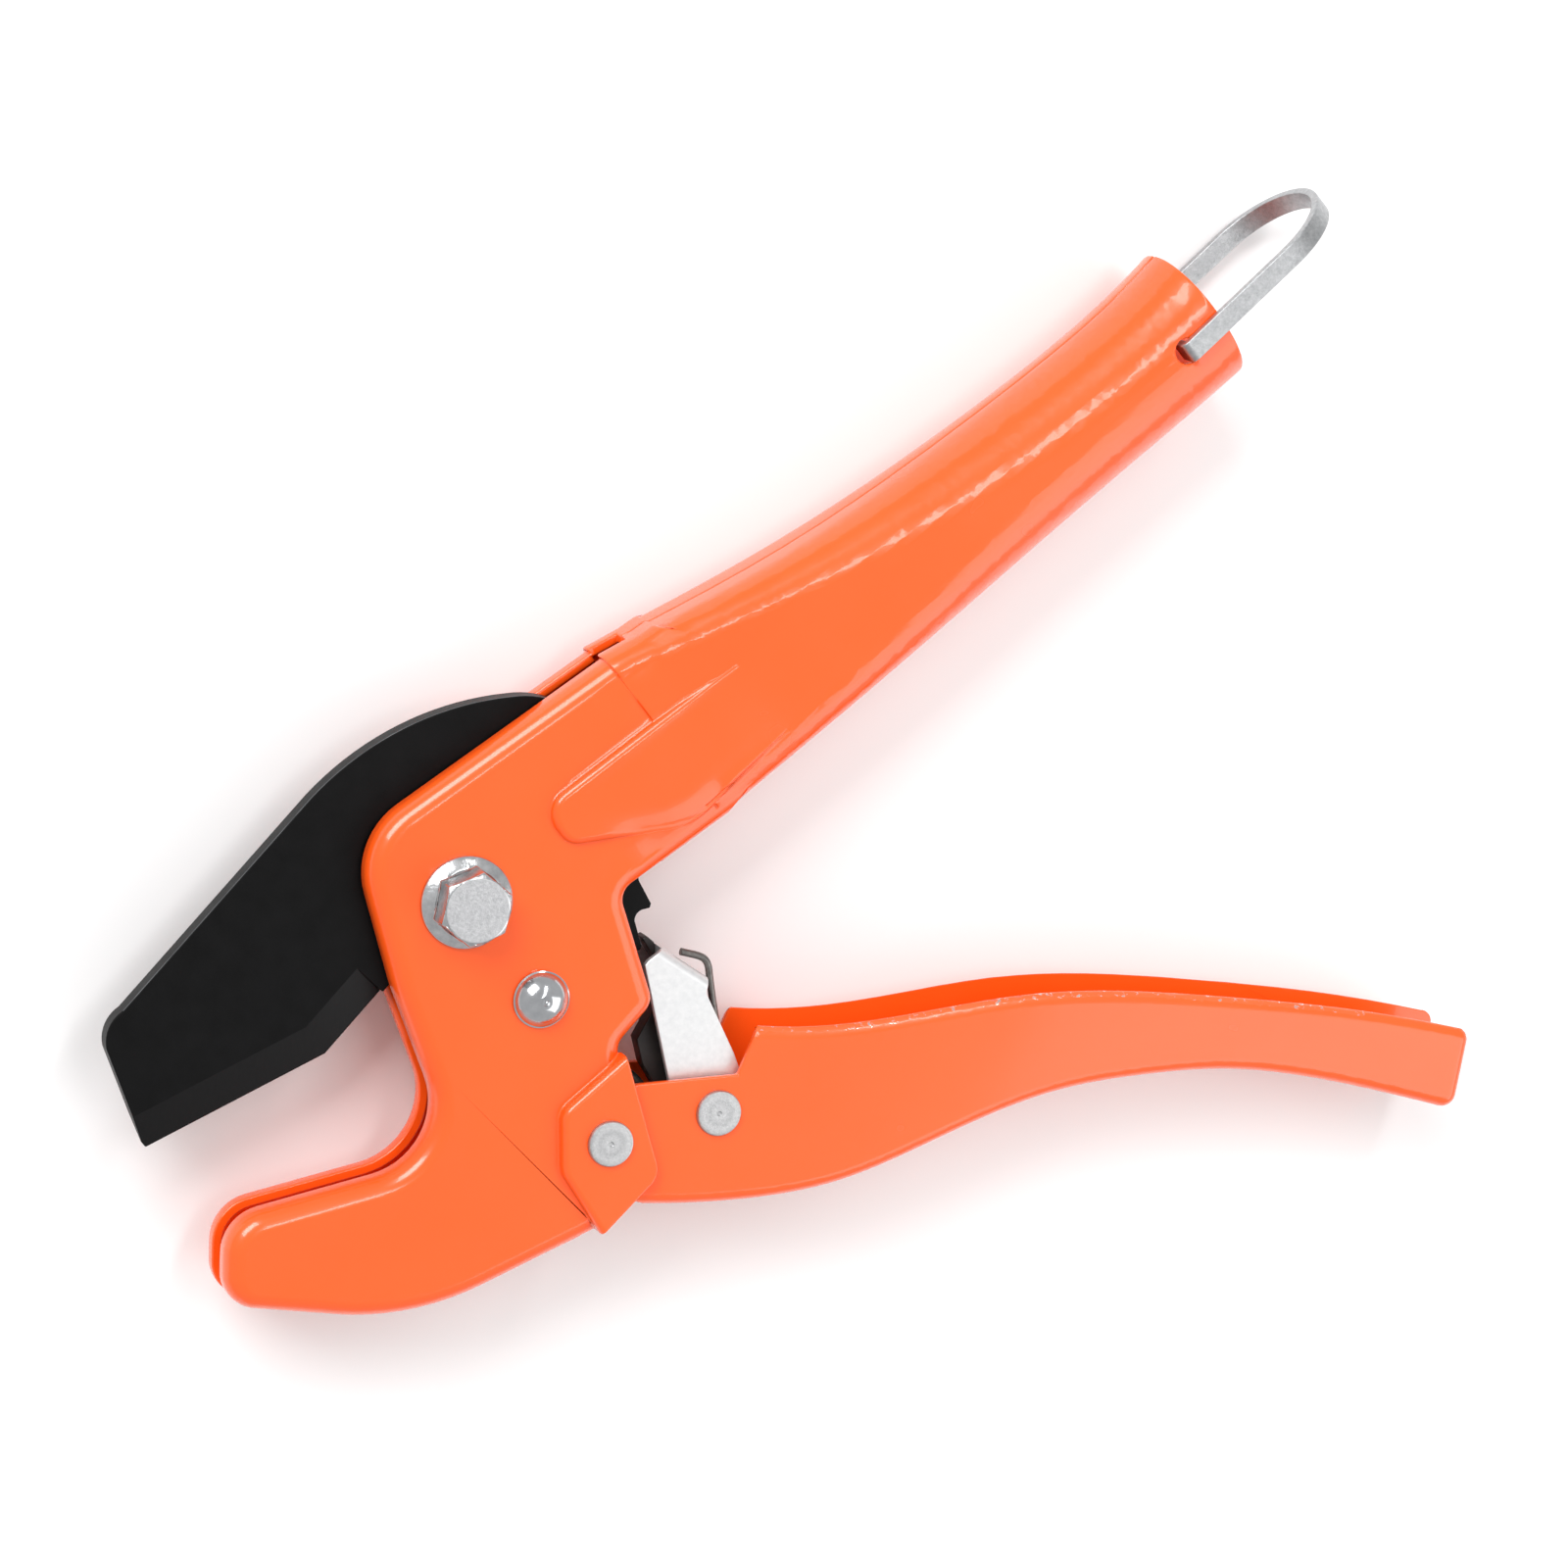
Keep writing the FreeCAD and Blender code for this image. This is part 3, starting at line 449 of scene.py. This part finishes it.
# --- flat rivets ---------------------------------------------------------------------------------
# Two steel rivets with low flat heads, spun down by an orbital tool. It leaves rings round the centre
# and a fine matte pitting all over.
def spun_head(name, centre, pitting):
    made, tree, shader, place = start_material(name, 1.0, 0.4, "#CDCECF")
    local = add_node(tree, "ShaderNodeMapping", {"Vector": place, "Location": (-centre.x, -centre.y, 0.0),
                                                 "Scale": (1.0, 1.0, 0.0)})
    rings = add_node(tree, "ShaderNodeTexWave", {"Vector": local.outputs[0], "Scale": millimetres(5.6),
                                                 "Distortion": 1.2, "Detail": 2.0}, wave_type="RINGS",
                     rings_direction="SPHERICAL")
    pits = add_node(tree, "ShaderNodeTexNoise", {"Vector": place, "Scale": millimetres(0.45), "Detail": 6.0,
                                                 "Roughness": 0.75})
    both = add_node(tree, "ShaderNodeMix", {0: 0.86, 2: rings.outputs[1], 3: pits.outputs[0]})
    tint(tree, shader, both.outputs[0], "#7E7F82", "#E6E6E6")
    emboss(tree, shader, both.outputs[0], pitting, 0.00016)
    return made


for node, body, pitting in (("handle_rivet", "body", 0.4), ("pawl_rivet", "handle", 0.75)):
    low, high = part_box(node)
    centre = (low + high) / 2
    steel = spun_head("spun_" + node, centre, pitting)
    at = Vector((centre.x, centre.y, 0.0))
    head = 0.00355
    thick = 0.00085
    half = [(0.0, high.z - 0.00022), (0.00025, high.z - 0.0002), (0.0004, high.z - 0.00006),
            (head - 0.0004, high.z), (head - 0.00012, high.z - 0.00008), (head, high.z - 0.0003),
            (head, high.z - thick), (0.0025, high.z - thick)]
    outline = half + [(reach, low.z + high.z - height) for reach, height in reversed(half)]
    shape = turned(outline, at, 56)
    rivet = hang_up(shape, "spun_" + node, body, [steel], crease=28)
    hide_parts(node)


# --- pawl bracket --------------------------------------------------------------------------------
# A folded strip over the pawl, zinc plated after bending. The plating is nearly white and satin, with
# a very fine grain.
satin, tree, shader, place = start_material("satin_zinc_plate", 0.75, 0.42, "#E9EAEA")
grain = add_node(tree, "ShaderNodeTexNoise", {"Vector": place, "Scale": millimetres(0.8), "Detail": 5.0})
tint(tree, shader, grain.outputs[0], "#D2D3D4", "#EAEAEA")
emboss(tree, shader, grain.outputs[0], 0.15, 0.00008)
shape = join_triangles("pawl_bracket")
soften(shape, worn_radius, 45)
bracket = hang_up(shape, "plated_pawl_bracket", "pawl", [satin])
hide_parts("pawl_bracket")


# --- pawl ----------------------------------------------------------------------------------------
# A hardened steel plate whose nose drops into the blade's notches. Black oxide, a little brown and
# oily, with rubbed edges.
oxide, tree, shader, place = start_material("black_oxide_steel", 0.5, 0.4, "#2C2A29")
patch = add_node(tree, "ShaderNodeTexNoise", {"Vector": place, "Scale": millimetres(2.0), "Detail": 5.0})
tint(tree, shader, patch.outputs[0], "#222021", "#3A3432")
shape = join_triangles("pawl_plate")
soften(shape, worn_radius, 45)
pawl = hang_up(shape, "oxide_pawl_plate", "pawl", [oxide])
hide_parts("pawl_plate")


# --- springs -------------------------------------------------------------------------------------
# Cold-drawn spring wire. The large coil returns the handle, and the small one holds the pawl to the
# teeth, with its end hooked over the bracket. Drawing leaves faint streaks along the wire.
drawn, tree, shader, place = start_material("drawn_spring_wire", 0.9, 0.34, "#6B6763")
streak = add_node(tree, "ShaderNodeTexNoise", {"Vector": place, "Scale": millimetres(0.7), "Detail": 4.0})
tint(tree, shader, streak.outputs[0], "#4B4845", "#8D8986")
sheen = add_node(tree, "ShaderNodeMapRange", {"Value": streak.outputs[0], "To Min": 0.25, "To Max": 0.45})
tree.links.new(sheen.outputs[0], shader.inputs["Roughness"])


def wire(name, points, radius, body):
    """Round wire along points, bent smoothly."""
    data = bpy.data.curves.new(name, "CURVE")
    data.dimensions = "3D"
    data.bevel_depth = radius
    data.bevel_resolution = 5
    data.use_fill_caps = True
    data.resolution_u = 5
    line = data.splines.new("NURBS")
    line.points.add(len(points) - 1)
    for target, point in zip(line.points, points):
        target.co = (*point, 1.0)
    line.order_u = 3
    line.use_endpoint_u = True
    data.materials.append(drawn)
    piece = bpy.data.objects.new(name, data)
    bpy.context.scene.collection.objects.link(piece)
    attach(piece, body)
    return piece


def coil(centre, radius, low, pitch, start, turns):
    """Points of a helix about Z, from a start angle in degrees, upwards."""
    steps = int(round(turns * 24))
    points = []
    for k in range(steps + 1):
        angle = math.radians(start) + math.tau * turns * k / steps
        height = low + pitch * turns * k / steps
        points.append((centre[0] + radius * math.cos(angle), centre[1] + radius * math.sin(angle), height))
    return points


handle_pivot = (0.0215, -0.0387)
large_wire = 0.0009
small_wire = 0.00058
large_turns = coil(handle_pivot, 0.0100, 0.0093, 0.00185, 180, 2.3611)
body_leg = [(0.0072, -0.0167, 0.0093), (0.0090, -0.0225, 0.0093), (0.0113, -0.0285, 0.0093),
            (0.0114, -0.0340, 0.0093)]
end_height = large_turns[-1][2]
handle_leg = [(0.0325, -0.0462, end_height), (0.0365, -0.0474, end_height), (0.0408, -0.0474, end_height)]
large = wire("handle_return_spring", body_leg + large_turns + handle_leg, large_wire, "body")
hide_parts("handle_spring")

pawl_pivot = (0.0395, -0.0361)
low_turn = 0.0152
small_turns = coil(pawl_pivot, 0.0034, low_turn, 0.0012, 10, 1.64)
hook = [(0.0353, -0.0116, low_turn), (0.0366, -0.0120, low_turn), (0.0381, -0.01245, low_turn),
        (0.0392, -0.0130, low_turn), (0.0398, -0.0141, low_turn), (0.03995, -0.0158, low_turn),
        (0.0405, -0.0200, low_turn), (0.0416, -0.0270, low_turn), (0.0425, -0.0330, low_turn)]
top_turn = small_turns[-1][2]
tail = [(0.0405, -0.0411, top_turn), (0.0425, -0.0430, top_turn), (0.0440, -0.0443, top_turn)]
small = wire("pawl_hook_spring", hook + small_turns + tail, small_wire, "pawl")
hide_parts("pawl_spring")


# --- hanging bail --------------------------------------------------------------------------------
# A strip of bright steel bent to a U, with short tabs turned into the tube's two holes. The rolled
# surface has a fine mottled grain, a little coarser here than the real one so that it shows.
rolled, tree, shader, place = start_material("rolled_bright_strip", 1.0, 0.34, "#D4D5D6")
mottle = add_node(tree, "ShaderNodeTexNoise", {"Vector": place, "Scale": millimetres(0.7), "Detail": 6.0,
                                               "Roughness": 0.75})
tint(tree, shader, mottle.outputs[0], "#6F7174", "#DADBDC")
emboss(tree, shader, mottle.outputs[0], 0.5, 0.00015)
shape = join_triangles("hang_bail")
soften(shape, 0.0002, 50)
bail = hang_up(shape, "strip_hang_bail", "bail", [rolled])
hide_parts("hang_bail")


# --- bushes, spacers and washers -----------------------------------------------------------------
# Plain turned steel rings between the plates, seen only through the gaps. The lathe leaves fine
# rings round each one, and oil darkens them.
lathed, tree, shader, place = start_material("turned_steel", 1.0, 0.32, "#A5A5A3")
bands = add_node(tree, "ShaderNodeTexWave", {"Vector": place, "Scale": millimetres(2.2), "Distortion": 0.6},
                 bands_direction="Z")
tint(tree, shader, bands.outputs[1], "#8C8B88", "#B9B8B5")
for node in ("blade_bush", "blade_spacers", "stop_sleeve", "handle_bush", "pawl_washers", "pawl_spacer"):
    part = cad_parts[node]
    part.data.materials.clear()
    part.data.materials.append(lathed)


# --- nut insert ----------------------------------------------------------------------------------
# The nut's nylon collar, pressed into its end: milky plastic with a faint mottle.
nylon, tree, shader, place = start_material("natural_nylon", 0.0, 0.5, "#DCDCD0")
cloud = add_node(tree, "ShaderNodeTexNoise", {"Vector": place, "Scale": millimetres(1.5), "Detail": 3.0})
tint(tree, shader, cloud.outputs[0], "#CFCFC2", "#E8E8DE")
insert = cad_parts["nut_insert"]
insert.data.materials.clear()
insert.data.materials.append(nylon)
